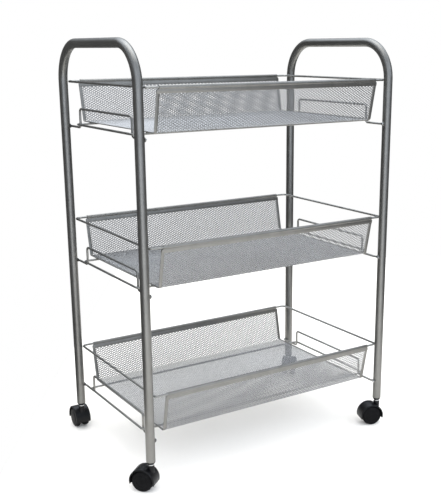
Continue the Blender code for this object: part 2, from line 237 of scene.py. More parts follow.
# The finish of each material slot of the record
FINISHES = {
    "tube_steel": {
        "name": "tube_lacquer",
        "dark": (0.213, 0.209, 0.196),
        "light": (0.24, 0.236, 0.222),
        "metallic": 0.95,
        "roughness": 0.38,
        "patches": 0.03,
        "grain": 0.0022,
        "grain_depth": 0.00002,
    },
    "wire_steel": {
        "name": "wire_lacquer",
        "dark": (0.277, 0.272, 0.255),
        "light": (0.33, 0.324, 0.304),
        "metallic": 0.95,
        "roughness": 0.32,
        "patches": 0.012,
        "grain": 0.0015,
        "grain_depth": 0.00001,
    },
    "binding_steel": {
        "name": "strip_lacquer",
        "dark": (0.215, 0.211, 0.196),
        "light": (0.255, 0.25, 0.235),
        "metallic": 0.9,
        "roughness": 0.42,
        "patches": 0.02,
        "grain": 0.0018,
        "grain_depth": 0.00002,
    },
    "mesh_steel": {
        "name": "mesh_lacquer",
        "dark": (0.53, 0.53, 0.527),
        "light": (0.63, 0.63, 0.627),
        "metallic": 0.85,
        "roughness": 0.30,
        "patches": 0.015,
        "grain": 0.001,
        "grain_depth": 0.00001,
        # painted shade on the strands' flanks, at the openings' edges
        "painted_edge_shade": (0.03, 0.03, 0.03),
    },
    "bright_steel": {
        "name": "zinc_plate",
        "dark": (0.50, 0.50, 0.49),
        "light": (0.62, 0.62, 0.61),
        "metallic": 1.0,
        "roughness": 0.24,
        "patches": 0.004,
        "grain": 0.0006,
        "grain_depth": 0.000005,
    },
    "plug_plastic": {
        "name": "plug_nylon",
        "dark": (0.004, 0.004, 0.005),
        "light": (0.008, 0.008, 0.009),
        "metallic": 0.0,
        "roughness": 0.5,
        "patches": 0.004,
        "grain": 0.0006,
        "grain_depth": 0.00001,
        "shine": 0.15,
    },
    "hood_plastic": {
        "name": "hood_nylon",
        "dark": (0.002, 0.002, 0.0025),
        "light": (0.005, 0.005, 0.0055),
        "metallic": 0.0,
        "roughness": 0.34,
        "patches": 0.006,
        "grain": 0.0016,
        "grain_depth": 0.00009,
        "shine": 0.22,
    },
    "wheel_plastic": {
        "name": "wheel_nylon",
        "dark": (0.004, 0.004, 0.0043),
        "light": (0.007, 0.007, 0.0075),
        "metallic": 0.0,
        "roughness": 0.45,
        "patches": 0.006,
        "grain": 0.0009,
        "grain_depth": 0.00003,
        "shine": 0.05,
    },
}


# ------------------------------------------------------------------- shaping


def working_object(name, data):
    """An object to shape with, which the finished mesh replaces."""
    working = bpy.data.objects.new(name, data)
    bpy.context.scene.collection.objects.link(working)
    return working


def finished(working):
    """The mesh of a working object with its modifiers applied and its faces out; the object goes."""
    bpy.context.view_layer.update()
    evaluated = working.evaluated_get(bpy.context.evaluated_depsgraph_get())
    mesh = bpy.data.meshes.new_from_object(evaluated)
    mesh.name = working.name
    graph = bmesh.new()
    graph.from_mesh(mesh)
    bmesh.ops.remove_doubles(graph, verts=graph.verts, dist=1e-6)
    bmesh.ops.recalc_face_normals(graph, faces=graph.faces)
    graph.to_mesh(mesh)
    graph.free()
    mesh.shade_smooth()
    mesh.set_sharp_from_angle(angle=math.radians(SMOOTH_ANGLE))
    bpy.data.objects.remove(working)
    return mesh


def combine(working, operation, others):
    """Boolean the working object with each of the others."""
    for other in others:
        boolean = working.modifiers.new(operation.lower(), "BOOLEAN")
        boolean.operation = operation
        boolean.object = other


def rounded(corners, radii, segments, closed=False):
    """The points of a path whose corners are rounded; a radius of 0 leaves a corner sharp."""
    points = []
    for index, (corner, radius) in enumerate(zip(corners, radii)):
        if radius == 0 or (not closed and index in (0, len(corners) - 1)):
            points.append(corner)
            continue
        before = (corners[index - 1] - corner).normalized()
        after = (corners[(index + 1) % len(corners)] - corner).normalized()
        half_angle = before.angle(after) / 2
        centre = corner + (before + after).normalized() * radius / math.sin(half_angle)
        first_spoke = corner + before * radius / math.tan(half_angle) - centre
        last_spoke = corner + after * radius / math.tan(half_angle) - centre
        axis = first_spoke.cross(last_spoke)
        for step in range(segments + 1):
            turn = Matrix.Rotation((math.pi - 2 * half_angle) * step / segments, 3, axis)
            points.append(centre + turn @ first_spoke)
    return points


def rounded_profile(corners, segments=5):
    """Points of (radius, height) with round corners, from corners of (radius, height, rounding)."""
    points = [Vector((across, up, 0)) for across, up, _ in corners]
    radii = [rounding for _, _, rounding in corners]
    return [(point.x, point.y) for point in rounded(points, radii, segments)]


def rectangle(half_x, half_y):
    signs = ((-1, -1), (1, -1), (1, 1), (-1, 1))
    return [Vector((half_x * x, half_y * y, 0)) for x, y in signs]


def round_wire(name, points):
    """A closed loop of round wire along the points."""
    curve = bpy.data.curves.new(name, "CURVE")
    curve.dimensions = "3D"
    curve.bevel_depth = WIRE_RADIUS
    curve.bevel_resolution = WIRE_SIDES // 2 - 2
    spline = curve.splines.new("POLY")
    spline.points.add(len(points) - 1)
    for point, place_at in zip(spline.points, points):
        point.co = (*place_at, 1)
    spline.use_cyclic_u = True
    return finished(working_object(name, curve))


def skin(name, rings, loop=False):
    """A closed surface through rings of points; a loop joins the last ring to the first."""
    graph = bmesh.new()
    rows = [[graph.verts.new(point) for point in ring] for ring in rings]
    for row, following in zip(rows, rows[1:] + rows[:1]):
        if following is rows[0] and not loop:
            continue
        for index in range(len(row)):
            after = (index + 1) % len(row)
            graph.faces.new((row[index], row[after], following[after], following[index]))
    if not loop:
        graph.faces.new(list(reversed(rows[0])))
        graph.faces.new(rows[-1])
    mesh = bpy.data.meshes.new(name)
    graph.to_mesh(mesh)
    graph.free()
    return working_object(name, mesh)


def ring_across(centre, heading, sides, deep, wide, shift=0.0):
    """An oval ring across a path in the YZ plane: its depth along X, its width square to the path."""
    sideways = heading.cross(Vector((1, 0, 0)))
    ring = []
    for step in range(sides):
        angle = 2 * math.pi * step / sides
        out = Vector((shift + deep * math.cos(angle), 0, 0)) + sideways * wide * math.sin(angle)
        ring.append(centre + out)
    return ring


def headings(points):
    """The direction of a path at each of its points."""
    found = []
    for index in range(len(points)):
        before = points[max(index - 1, 0)]
        after = points[min(index + 1, len(points) - 1)]
        found.append((after - before).normalized())
    return found


def turned(name, profile, sides=ROUND_SIDES):
    """A profile of (radius, height) points turned about Z."""
    mesh = bpy.data.meshes.new(name)
    graph = bmesh.new()
    row = [graph.verts.new((radius, 0, height)) for radius, height in profile]
    for pair in zip(row, row[1:]):
        graph.edges.new(pair)
    graph.to_mesh(mesh)
    graph.free()
    lathe = working_object(name, mesh)
    screw = lathe.modifiers.new("turn", "SCREW")
    screw.steps = sides
    screw.render_steps = sides
    screw.use_merge_vertices = True
    screw.merge_threshold = 1e-6
    return lathe


def cylinder(name, radius, length, axis="Z", centre=(0, 0, 0), sides=ROUND_SIDES):
    """A working cylinder along one axis, for joining or cutting."""
    turns = {"X": Matrix.Rotation(math.pi / 2, 3, "Y"), "Y": Matrix.Rotation(math.pi / 2, 3, "X")}
    graph = bmesh.new()
    bmesh.ops.create_cone(
        graph, cap_ends=True, segments=sides, radius1=radius, radius2=radius, depth=length
    )
    if axis in turns:
        bmesh.ops.rotate(graph, verts=graph.verts, cent=(0, 0, 0), matrix=turns[axis])
    bmesh.ops.translate(graph, verts=graph.verts, vec=centre)
    mesh = bpy.data.meshes.new(name)
    graph.to_mesh(mesh)
    graph.free()
    return working_object(name, mesh)


def block(name, size, centre, turn=0.0):
    """A working box, turned about Z."""
    graph = bmesh.new()
    bmesh.ops.create_cube(graph, size=1)
    bmesh.ops.scale(graph, verts=graph.verts, vec=size)
    bmesh.ops.rotate(graph, verts=graph.verts, cent=(0, 0, 0), matrix=Matrix.Rotation(turn, 3, "Z"))
    bmesh.ops.translate(graph, verts=graph.verts, vec=centre)
    mesh = bpy.data.meshes.new(name)
    graph.to_mesh(mesh)
    graph.free()
    return working_object(name, mesh)


def thickened(name, rows, thickness, edge):
    """A grid of points made into a sheet with thickness and softened edges."""
    graph = bmesh.new()
    grid = [[graph.verts.new(point) for point in row] for row in rows]
    for row, following in zip(grid, grid[1:]):
        for index in range(len(row) - 1):
            graph.faces.new((row[index], row[index + 1], following[index + 1], following[index]))
    mesh = bpy.data.meshes.new(name)
    graph.to_mesh(mesh)
    graph.free()
    plate = working_object(name, mesh)
    solidify = plate.modifiers.new("thickness", "SOLIDIFY")
    solidify.thickness = thickness
    solidify.offset = 0
    solidify.use_even_offset = True
    rounding = plate.modifiers.new("rounding", "BEVEL")
    rounding.width = edge
    rounding.segments = 2
    rounding.limit_method = "ANGLE"
    rounding.angle_limit = math.radians(50)
    return plate


def discard(working):
    for used in working:
        bpy.data.objects.remove(used)


def put_in_place(mesh, location, rotation):
    """A copy of the mesh whose points are already where the piece stands."""
    placed = mesh.copy()
    placed.transform(Matrix.LocRotScale(Vector(location), Euler(rotation), None))
    return placed


def add(node, mesh, slot, location=(0, 0, 0), rotation=(0, 0, 0), name=None):
    """A fine piece that stands for a CAD node and moves with the node's body."""
    piece = bpy.data.objects.new(name or f"fine_{node}", mesh)
    if not mesh.materials:
        mesh.materials.append(MATERIALS[slot])
    piece.location = location
    piece.rotation_euler = rotation
    bpy.context.scene.collection.objects.link(piece)
    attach(piece, NODE_BODY[node])
    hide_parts(node)


# ---------------------------------------------------------------- end frames


def end_frame_mesh():
    """The right-hand tube: two posts and a handle, open at both lower ends, with the guards' screw holes."""
    corners = [
        Vector((0, -POST_Y, TUBE_BOTTOM)),
        Vector((0, -POST_Y, HANDLE_Z)),
        Vector((0, POST_Y, HANDLE_Z)),
        Vector((0, POST_Y, TUBE_BOTTOM)),
    ]
    bends = rounded(corners, [0, HANDLE_BEND, HANDLE_BEND, 0], 20)
    hole_heights = [height - GUARD_FOOT_DROP for height in RIM_HEIGHT.values()]
    guard_rings = [height + side * EYE_RADIUS for height in sorted(hole_heights) for side in (-1, 1)]
    front = [Vector((0, -POST_Y, height)) for height in (TUBE_BOTTOM + TUBE_EDGE, *guard_rings)]
    rear = [point * Vector((1, -1, 1)) for point in reversed(front)]
    path = [bends[0], *front, *bends[1:-1], *rear, bends[-1]]
    outer_radii = [TUBE_RADIUS - TUBE_EDGE, *[TUBE_RADIUS] * (len(path) - 2), TUBE_RADIUS - TUBE_EDGE]
    inner = TUBE_RADIUS - TUBE_WALL
    ways = headings(path)
    ways[0] = ways[1] = Vector((0, 0, 1))
    ways[-1] = ways[-2] = Vector((0, 0, -1))
    outside = [
        ring_across(point, way, TUBE_SIDES, radius, radius)
        for point, way, radius in zip(path, ways, outer_radii)
    ]
    inside = [
        ring_across(point, way, TUBE_SIDES, inner, inner) for point, way in zip(path, ways)
    ]
    tube = skin("end_frame", outside + inside[::-1], loop=True)
    holes = [
        cylinder("screw_hole", SCREW_HOLE_RADIUS, 0.006, "X", (-TUBE_RADIUS + TUBE_WALL / 2, y, z), 24)
        for z in hole_heights
        for y in (-POST_Y, POST_Y)
    ]
    combine(tube, "DIFFERENCE", holes)
    mesh = finished(tube)
    discard(holes)
    return mesh


def build_end_frames():
    mesh = end_frame_mesh()
    add("right_end_frame", mesh, "tube_steel", (POST_X, CENTRE_Y, 0))
    add("left_end_frame", mesh, "tube_steel", (-POST_X, CENTRE_Y, 0), (0, 0, math.pi))


# --------------------------------------------------------------------- trays


class Fold:
    """The line that the mesh sheet follows: down the front wall, across the floor, up the rear wall.

    It is measured along its length, and gives Y and Z from the rim's height and the way it faces.
    """

    STEP = 0.00005

    def __init__(self):
        down = Vector((0, RIM_Y - FLOOR_Y, -FLOOR_DROP)).normalized()
        lean = math.atan2(down.z, down.y)
        start = Vector((0, -RIM_Y, 0)) + down * (WIRE_RADIUS + 2 * GAP)
        corner = Vector((0, -FLOOR_Y, -FLOOR_DROP))
        cut = TROUGH_BEND * math.tan(abs(lean) / 2)
        wall = (corner - start).length - cut
        bend = TROUGH_BEND * abs(lean)
        floor = 2 * (FLOOR_Y - cut)
        ends = np.cumsum([0, wall, bend, floor, bend, wall])
        self.wall = wall
        self.bend = bend
        self.length = ends[-1]
        self.along = np.arange(0, self.length, self.STEP)
        self.heading = np.interp(self.along, ends, [lean, lean, 0, 0, -lean, -lean])
        self.y = start.y + np.concatenate([[0], np.cumsum(np.cos(self.heading) * self.STEP)[:-1]])
        self.z = start.z + np.concatenate([[0], np.cumsum(np.sin(self.heading) * self.STEP)[:-1]])

    def points(self, x, along, off=0.0):
        """Rows of X, Y, Z for places along the fold, moved off the sheet towards the tray's inside."""
        heading = np.interp(along, self.along, self.heading)
        y = np.interp(along, self.along, self.y) - off * np.sin(heading)
        z = np.interp(along, self.along, self.z) + off * np.cos(heading)
        return np.stack([x + 0 * along, y, z], axis=-1)

    def stations(self):
        """Places along the fold with few on the flats and many round the bends."""
        first = [0, self.wall / 2]
        turn = list(np.linspace(self.wall, self.wall + self.bend, 9))
        half = first + turn + [self.length / 2]
        return np.array(half + [self.length - place for place in reversed(half[:-1])])


def lattice_mesh(fold):
    """The expanded mesh: each strand has a ridge on both faces and thins out to the edge of its opening."""
    half_length = TROUGH_HALF_LENGTH - LATTICE_INSET
    columns = 2 * round(half_length / (DIAMOND_LENGTH / 2))
    rows = 2 * round(fold.length / DIAMOND_HEIGHT)
    column_step = 2 * half_length / columns
    row_step = fold.length / rows
    column, row = np.meshgrid(np.arange(columns + 1), np.arange(rows + 1), indexing="ij")
    joint = (column + row) % 2 == 0
    hole = ~joint & (column > 0) & (column < columns) & (row > 0) & (row < rows)

    def place(columns_at, rows_at, off):
        x = columns_at * column_step - half_length
        return fold.points(x, rows_at * row_step, off)

    thickness = STRAND_THICKNESS / 2
    joints = joint.sum()
    index = np.full(joint.shape, -1)
    index[joint] = np.arange(joints)
    ways = ((-1, 0), (0, -1), (1, 0), (0, 1))
    hole_column, hole_row = column[hole], row[hole]
    holes = len(hole_column)
    points = [place(column[joint], row[joint], off) for off in (thickness, -thickness)]
    for right, up in ways:
        points.append(place(hole_column + OPENING * right, hole_row + OPENING * up, 0.0))
    faces = []
    for turn, (right, up) in enumerate(ways):
        after = (turn + 1) % 4
        next_right, next_up = ways[after]
        here = index[hole_column + right, hole_row + up]
        there = index[hole_column + next_right, hole_row + next_up]
        edge_here = 2 * joints + turn * holes + np.arange(holes)
        edge_there = 2 * joints + after * holes + np.arange(holes)
        faces.append(np.stack([here, there, edge_there, edge_here], axis=-1))
        faces.append(np.stack([edge_here, edge_there, there + joints, here + joints], axis=-1))
        beyond_column = hole_column + right + next_right
        beyond_row = hole_row + up + next_up
        rim = (beyond_column < 1) | (beyond_column >= columns) | (beyond_row < 1) | (beyond_row >= rows)
        here, there = here[rim], there[rim]
        faces.append(np.stack([there, here, here + joints, there + joints], axis=-1))
    mesh = bpy.data.meshes.new("expanded_mesh")
    mesh.from_pydata(np.concatenate(points).tolist(), [], np.concatenate(faces).tolist())
    # 1 on the ridges, 0 at the openings' edges: the mask for the painted shade on the strands' flanks
    ridge = mesh.attributes.new("ridge", "FLOAT", "POINT")
    ridge.data.foreach_set("value", np.repeat([1.0, 0.0], [2 * joints, 4 * holes]))
    used = bmesh.new()
    used.from_mesh(mesh)
    loose = [vertex for vertex in used.verts if not vertex.link_faces]
    bmesh.ops.delete(used, geom=loose, context="VERTS")
    used.to_mesh(mesh)
    used.free()
    mesh.shade_smooth()
    return mesh


def corner_inset(from_corner):
    """How far a rounded corner draws the outline in, at a distance from it along the other side."""
    short = np.clip(PANEL_CORNER - from_corner, 0, PANEL_CORNER)
    return PANEL_CORNER - np.sqrt(PANEL_CORNER**2 - short**2)


def hem_mesh(fold):
    """The folded edge at the right-hand end of the sheet: wide up the walls, narrow across the floor."""
    along = fold.stations()
    corner = np.linspace(0, PANEL_CORNER, 6)
    along = np.concatenate([corner, along[1:-1], fold.length - corner[::-1]])
    from_end = np.minimum(along, fold.length - along)
    width = np.interp(from_end, [fold.wall, fold.wall + fold.bend], [HEM_WIDTH, FLOOR_HEM_WIDTH])
    outer = fold.points(TROUGH_HALF_LENGTH - corner_inset(from_end), along)
    middle = fold.points(TROUGH_HALF_LENGTH - width / 2, along)
    inner = fold.points(TROUGH_HALF_LENGTH - width, along)
    return finished(thickened("hem", [outer, middle, inner], HEM_THICKNESS, HEM_EDGE))


def binding_mesh():
    """The rear strip: sheet folded over the rim wire and pinched onto the mesh below it."""
    down = Vector((0, FLOOR_Y - RIM_Y, -FLOOR_DROP)).normalized()
    outward = Vector((0, -down.z, down.y))
    centre = Vector((0, RIM_Y, 0))
    fold = WIRE_RADIUS + GAP + BINDING_SHEET / 2
    pinch = HEM_THICKNESS / 2 + GAP / 2 + BINDING_SHEET / 2
    below = WIRE_RADIUS + 2 * GAP
    drops = [BINDING_LEAF, below + PANEL_CORNER, 0.0044, 0.0036, below]
    leaf = [(drop, pinch) for drop in drops] + [(0.0019, 0.6 * fold), (0.0011, 0.9 * fold)]
    arc = [
        (-fold * math.sin(math.pi * step / 16), fold * math.cos(math.pi * step / 16))
        for step in range(17)
    ]
    section = leaf + arc + [(drop, -out) for drop, out in reversed(leaf)]
    line = [centre + down * drop + outward * out for drop, out in section]
    ends = [BINDING_HALF_LENGTH - corner_inset(drop - below) for drop, _ in section]
    rows = [
        [Vector((share * end, 0, 0)) + point for point, end in zip(line, ends)] for share in (-1, 0, 1)
    ]
    return finished(thickened("binding", rows, BINDING_SHEET, BINDING_EDGE))


def guard_mesh():
    """The right-hand guard: a round wire hoop whose feet are beaten flat into eyes for the screws."""
    foot = -GUARD_FOOT_DROP
    corners = [
        Vector((0, 0, -GUARD_TOP_DROP)),
        Vector((0, GUARD_LEG_Y, -GUARD_TOP_DROP)),
        Vector((0, GUARD_LEG_Y, foot)),
        Vector((0, POST_Y - FOOT_ROUND_END, foot)),
    ]
    rear = [
        (point, WIRE_RADIUS, WIRE_RADIUS, 0.0)
        for point in rounded(corners, [0, GUARD_BEND, GUARD_BEND, 0], 8)
    ]
    eye_shift = WIRE_RADIUS - EYE_INSET - EYE_THICKNESS / 2
    first_angle = math.pi - math.asin(WIRE_RADIUS / EYE_RADIUS)
    last_angle = math.radians(8)
    neck = POST_Y + EYE_RADIUS * math.cos(first_angle)
    neck_width = EYE_RADIUS * math.sin(first_angle)
    for step in range(4):
        share = (step + 0.5) / 4
        blend = share * share * (3 - 2 * share)
        point = Vector((0, neck - FOOT_NECK * (1 - share), foot))
        deep = WIRE_RADIUS + (EYE_THICKNESS / 2 - WIRE_RADIUS) * blend
        wide = WIRE_RADIUS + (neck_width - WIRE_RADIUS) * blend
        rear.append((point, deep, wide, eye_shift * blend))
    for step in range(13):
        angle = first_angle + (last_angle - first_angle) * step / 12
        point = Vector((0, POST_Y + EYE_RADIUS * math.cos(angle), foot))
        rear.append((point, EYE_THICKNESS / 2, EYE_RADIUS * math.sin(angle), eye_shift))
    mirrored = [(point * Vector((1, -1, 1)), *sizes) for point, *sizes in reversed(rear[1:])]
    stations = mirrored + rear
    ways = headings([point for point, *_ in stations])
    rings = [
        ring_across(point, way, WIRE_SIDES, deep, wide, shift)
        for (point, deep, wide, shift), way in zip(stations, ways)
    ]
    hoop = skin("guard", rings)
    holes = [
        cylinder("eye_hole", SCREW_HOLE_RADIUS, 3 * EYE_THICKNESS, "X", (eye_shift, y, foot), 24)
        for y in (-POST_Y, POST_Y)
    ]
    combine(hoop, "DIFFERENCE", holes)
    mesh = finished(hoop)
    discard(holes)
    return mesh


def screw_mesh():
    """A pan-head screw with a cross recess: the head up, its bearing face at the origin."""
    head, height = SCREW_HEAD_RADIUS, SCREW_HEAD_HEIGHT
    profile = rounded_profile(
        [
            (0, height, 0),
            (0.72 * head, height, 0.0008),
            (head, 0.55 * height, 0.0003),
            (head, 0, 0.0001),
            (SCREW_RADIUS, 0, 0),
            (SCREW_RADIUS, 0.002 - SCREW_LENGTH, 0.0003),
            (0, -SCREW_LENGTH, 0),
        ]
    )
    screw = turned("foot_screw", profile, 40)
    slots = [
        block("recess", SCREW_RECESS, (0, 0, height), SCREW_RECESS_TURN + turn)
        for turn in (0, math.pi / 2)
    ]
    combine(screw, "DIFFERENCE", slots)
    mesh = finished(screw)
    discard(slots)
    return mesh


def build_trays():
    fold = Fold()
    lattice = lattice_mesh(fold)
    hem = hem_mesh(fold)
    corners = rectangle(INNER_PLANE_X, RIM_Y)
    rim = round_wire("rim_wire", rounded(corners, [RIM_CORNER] * 4, 10, closed=True))
    corners = rectangle(LOWER_WIRE_X, LOWER_WIRE_Y)
    lower = round_wire("lower_wire", rounded(corners, [LOWER_WIRE_CORNER] * 4, 10, closed=True))
    binding = binding_mesh()
    guard = guard_mesh()
    screw = screw_mesh()
    screw_x = INNER_PLANE_X + WIRE_RADIUS - EYE_INSET - EYE_THICKNESS - GAP
    about = (0, 0, math.pi)
    for level in LEVELS:
        height = RIM_HEIGHT[level]
        middle = (0, CENTRE_Y, height)
        add(f"{level}_tray_mesh", lattice, "mesh_steel", middle)
        for side, turn in (("right", (0, 0, 0)), ("left", about)):
            name = f"fine_{level}_tray_{side}_hem"
            add(f"{level}_tray_mesh", hem, "binding_steel", middle, turn, name)
        add(f"{level}_tray_rim_wire", rim, "wire_steel", middle)
        low = (0, CENTRE_Y, height - LOWER_WIRE_DROP)
        add(f"{level}_tray_lower_wire", lower, "wire_steel", low)
        add(f"{level}_tray_rear_binding", binding, "binding_steel", middle)
        add(f"{level}_tray_front_binding", binding, "binding_steel", middle, about)
        for side, sign, turn in (("right", 1, (0, 0, 0)), ("left", -1, about)):
            beside = (sign * INNER_PLANE_X, CENTRE_Y, height)
            add(f"{level}_tray_{side}_guard", guard, "wire_steel", beside, turn)
            for end, y in (("front", -POST_Y), ("rear", POST_Y)):
                at = (sign * screw_x, CENTRE_Y + y, height - GUARD_FOOT_DROP)
                node = f"{level}_tray_{end}_{side}_screw"
                add(node, screw, "bright_steel", at, (0, -sign * math.pi / 2, 0))


# ------------------------------------------------------------------- casters


def plug_mesh():
    """The socket in the tube's lower end; its flange tapers from the tube to the stem's collar."""
    profile = rounded_profile(
        [
            (0, PLUG_TOP, 0),
            (PLUG_RADIUS, PLUG_TOP, 0.0008),
            (PLUG_RADIUS, TUBE_BOTTOM - GAP, 0),
            (PLUG_FLANGE_RADIUS, TUBE_BOTTOM - GAP, 0.0003),
            (PLUG_FLANGE_RADIUS, TUBE_BOTTOM - PLUG_FLANGE_RIM, 0.0006),
            (PLUG_FOOT_RADIUS, PLUG_BOTTOM, 0.0005),
            (PLUG_BORE_RADIUS, PLUG_BOTTOM, 0.0002),
            (PLUG_BORE_RADIUS, STEM_TOP + GAP, 0),
            (0, STEM_TOP + GAP, 0),
        ]
    )
    return finished(turned("plug", profile, 48))


def stem_mesh():
    """The fixed pin: its thick end up in the plug, its bright collar below, its thin end in the neck."""
    collar_top = PLUG_BOTTOM - GAP
    collar_bottom = NECK_TOP + GAP
    profile = rounded_profile(
        [
            (0, STEM_TOP, 0),
            (STEM_RADIUS, STEM_TOP, 0.0006),
            (STEM_RADIUS, collar_top, 0),
            (STEM_COLLAR_RADIUS, collar_top, 0.0007),
            (STEM_COLLAR_RADIUS, collar_bottom, 0.0007),
            (STEM_PIN_RADIUS, collar_bottom, 0),
            (STEM_PIN_RADIUS, NECK_BOTTOM + GAP, 0.0004),
            (0, NECK_BOTTOM + GAP, 0),
        ]
    )
    return finished(turned("stem", profile, 48))


def axle_mesh():
    half = AXLE_LENGTH / 2
    corners = [(0, half, 0), (AXLE_RADIUS, half, 0.0004), (AXLE_RADIUS, -half, 0.0004), (0, -half, 0)]
    return finished(turned("axle", rounded_profile(corners), 32))


def wheel_mesh():
    """A wheel with its outer face up: a low cap, a dished ring and a round shoulder to the tread."""
    outer = WHEEL_WIDTH
    profile = rounded_profile(
        [
            (0, outer, 0),
            (0.0104, outer - 0.0001, 0.0004),
            (0.0110, outer - 0.0006, 0.0004),
            (0.0165, outer - 0.0010, 0.002),
            (0.0186, outer - 0.0024, 0.0014),
            (WHEEL_RADIUS, outer - 0.0046, 0.0015),
            (WHEEL_RADIUS, 0.0020, 0.0008),
            (WHEEL_RADIUS - 0.0016, 0, 0.0010),
            (AXLE_BORE_RADIUS, 0, 0.0003),
            (AXLE_BORE_RADIUS, AXLE_BORE_DEPTH, 0),
            (0, AXLE_BORE_DEPTH, 0),
        ]
    )
    return finished(turned("wheel", profile))


def hood_mesh():
    """Two fenders, the web between the wheels, the axle's boss and the neck, moulded in one."""
    axle_at = Vector((TRAIL, 0, WHEEL_RADIUS))
    half = FENDER_WIDTH / 2
    profile = rounded_profile(
        [
            (0, half, 0),
            (FENDER_RADIUS, half, FENDER_LIP),
            (FENDER_RADIUS, -half, FENDER_LIP),
            (0, -half, 0),
        ],
        segments=6,
    )
    drum = finished(turned("drum", profile, 96))
    drum.transform(Matrix.Translation(axle_at) @ Matrix.Rotation(math.pi / 2, 4, "X"))
    body = working_object("hood", drum)
    below = block(
        "below",
        (4 * FENDER_RADIUS, 2 * FENDER_WIDTH, 2 * FENDER_RADIUS),
        (TRAIL, 0, FENDER_BOTTOM - FENDER_RADIUS),
    )
    boss = cylinder("boss", BOSS_RADIUS, WEB_THICKNESS, "Y", axle_at)
    neck_profile = rounded_profile(
        [
            (0, NECK_TOP, 0),
            (NECK_RADIUS, NECK_TOP, 0.0006),
            (NECK_RADIUS, NECK_BOTTOM, 0),
            (0, NECK_BOTTOM, 0),
        ]
    )
    neck = working_object("neck", finished(turned("neck", neck_profile, 48)))
    well_middle = WEB_THICKNESS / 2 + FENDER_WIDTH / 2
    wells = [
        cylinder("well", WELL_RADIUS, FENDER_WIDTH, "Y", (TRAIL, y, WHEEL_RADIUS), 96)
        for y in (-well_middle, well_middle)
    ]
    axle_hole = cylinder("axle_hole", AXLE_BORE_RADIUS, FENDER_WIDTH, "Y", axle_at, 32)
    pin_length = 2 * (NECK_TOP - NECK_BOTTOM)
    pin_hole = cylinder("pin_hole", STEM_PIN_BORE_RADIUS, pin_length, "Z", (0, 0, NECK_TOP), 32)
    combine(body, "DIFFERENCE", [below])
    combine(body, "UNION", [boss, neck])
    combine(body, "DIFFERENCE", [*wells, axle_hole, pin_hole])
    mesh = finished(body)
    discard([below, boss, neck, *wells, axle_hole, pin_hole])
    return mesh


def build_casters():
    plug, stem, hood, axle, wheel = plug_mesh(), stem_mesh(), hood_mesh(), axle_mesh(), wheel_mesh()
    quarter = math.pi / 2
    wheel_inner_face = WEB_THICKNESS / 2 + GAP
    for corner in CORNERS:
        swivel = Vector(JOINTS[f"{corner}_swivel"]["pos_m"])
        hub = Vector(JOINTS[f"{corner}_left_wheel_spin"]["pos_m"])
        trail_angle = math.atan2(hub.y - swivel.y, hub.x - swivel.x)
        foot = (swivel.x, swivel.y, 0)
        add(f"{corner}_plug", plug, "plug_plastic", foot)
        add(f"{corner}_stem", stem, "bright_steel", foot)
        turned_hood = put_in_place(hood, foot, (0, 0, trail_angle))
        add(f"{corner}_hood", turned_hood, "hood_plastic")
        turned_axle = put_in_place(axle, hub, (quarter, 0, trail_angle))
        add(f"{corner}_axle", turned_axle, "bright_steel")
        sideways = Vector((-math.sin(trail_angle), math.cos(trail_angle), 0))
        for side, sign in (("left", 1), ("right", -1)):
            at = hub + sideways * sign * wheel_inner_face
            node = f"{corner}_{side}_wheel"
            turned_wheel = put_in_place(wheel, at, (-sign * quarter, 0, trail_angle))
            add(node, turned_wheel, "wheel_plastic")


# ------------------------------------------------------------- studio, camera

CART_MIDDLE = Vector((0, CENTRE_Y, 0))
CAMERA_OFFSET = Vector((-0.8347, -1.3508, 0.7270))  # from the cart's middle on the floor
CAMERA_HEADING = 32.91  # degrees from +Y towards +X
CAMERA_DIP = 14.757  # degrees below the horizon
CAMERA_ROLL = -0.2536
CAMERA_LENS = 62.197
CAMERA_SHIFT = (-0.051, 0.0483)

PAPER_WIDTH = 1.2
PAPER_LENGTH = 6.0
PAPER_FORWARD = 1.6  # how far the paper's middle lies from the cart towards the camera
PAPER_RIGHT = 0.2
PAPER_COLOUR = (0.92, 0.91, 0.885)

CHEST = CART_MIDDLE + Vector((0, 0, 0.40))  # what the top and side lights aim at
TOP_RISE = 1.9
TOP_WIDTH = 1.6
TOP_POWER = 16
KEY_SIDE = 14  # degrees to the right of the camera, seen from the cart
KEY_DISTANCE = 2.0
KEY_WIDTH = 3.4
KEY_HEIGHT = 2.2
KEY_LIFT = 0.02  # from the floor to its lower edge
KEY_RADIANCE = 1.2
KEY_COLOUR = (0.86, 0.96, 1.12)
FILL_SIDE = 72
FILL_DISTANCE = 1.9
FILL_RISE = 1.0
FILL_WIDTH = 1.2
FILL_RADIANCE = 1.3

WORLD_STRENGTH = 1.4
ROOM_LOW = (0.085, 0.088, 0.095)
ROOM_EDGE = (25, 42)  # degrees of elevation over which the walls pass into the ceiling
ROOM_NEAR = (0.55, 0.62, 0.72)
ROOM_FAR = (2.3, 2.5, 2.8)
ROOM_DEPTH = 0.25  # how far onward, on a unit direction, the near ceiling passes into the far one


def heading_frame():
    """The camera's way along the floor and the way to its right."""
    heading = math.radians(CAMERA_HEADING)
    onward = Vector((math.sin(heading), math.cos(heading), 0))
    return onward, Vector((onward.y, -onward.x, 0))


def build_camera():
    camera = bpy.data.objects.new("camera", bpy.data.cameras.new("camera"))
    bpy.context.scene.collection.objects.link(camera)
    camera.location = CART_MIDDLE + CAMERA_OFFSET
    turn = Matrix.Rotation(math.radians(-CAMERA_HEADING), 4, "Z")
    tip = Matrix.Rotation(math.radians(90 - CAMERA_DIP), 4, "X")
    roll = Matrix.Rotation(math.radians(CAMERA_ROLL), 4, "Z")
    camera.rotation_euler = (turn @ tip @ roll).to_euler()
    camera.data.lens = CAMERA_LENS
    camera.data.shift_x, camera.data.shift_y = CAMERA_SHIFT
    camera.data.clip_start = 0.05
    bpy.context.scene.camera = camera


